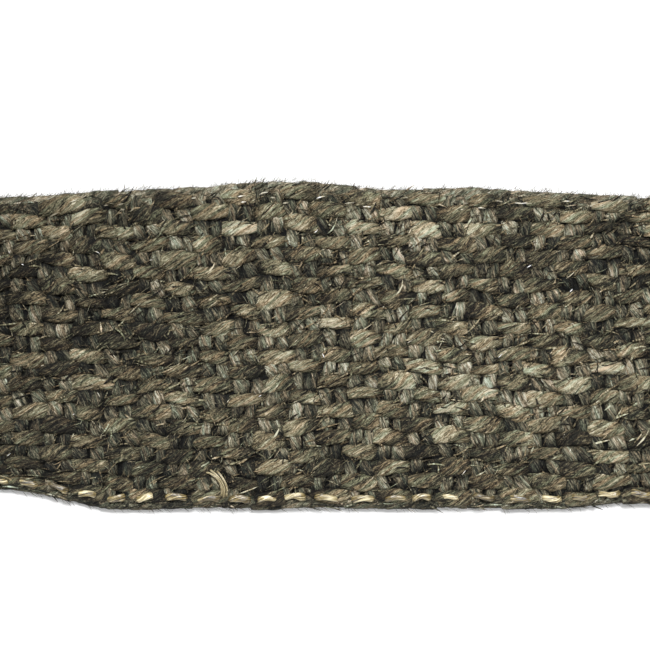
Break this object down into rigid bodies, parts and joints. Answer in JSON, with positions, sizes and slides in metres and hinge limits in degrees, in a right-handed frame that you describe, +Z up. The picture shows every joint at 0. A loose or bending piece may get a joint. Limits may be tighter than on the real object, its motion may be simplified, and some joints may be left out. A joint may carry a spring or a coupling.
{
  "type": "exhaust heat wrap",
  "caption": "Woven basalt heat wrap tape for exhaust pipes, wound into a roll with its last stretch laid out flat, with a lock thread along one selvedge.",
  "frame": {"origin": "on the floor under the middle of the object's bounding box, which lies on the underside of the flat stretch", "axes": "+X along the flat stretch towards the tape's free end, the roll at -X; +Y across the tape, away from the edge with the lock thread; +Z up"},
  "size_m": [0.2448, 0.0512, 0.1138],
  "materials": {
    "basalt_weave": "plain weave of thick twisted basalt yarn, olive grey to charcoal with tan and pale fibres, matt",
    "lock_thread": "flat golden filament thread, glossy"
  },
  "bodies": {
    "root": {"woven_tape": "basalt_weave", "selvedge_thread": "lock_thread"}
  },
  "joints": []
}
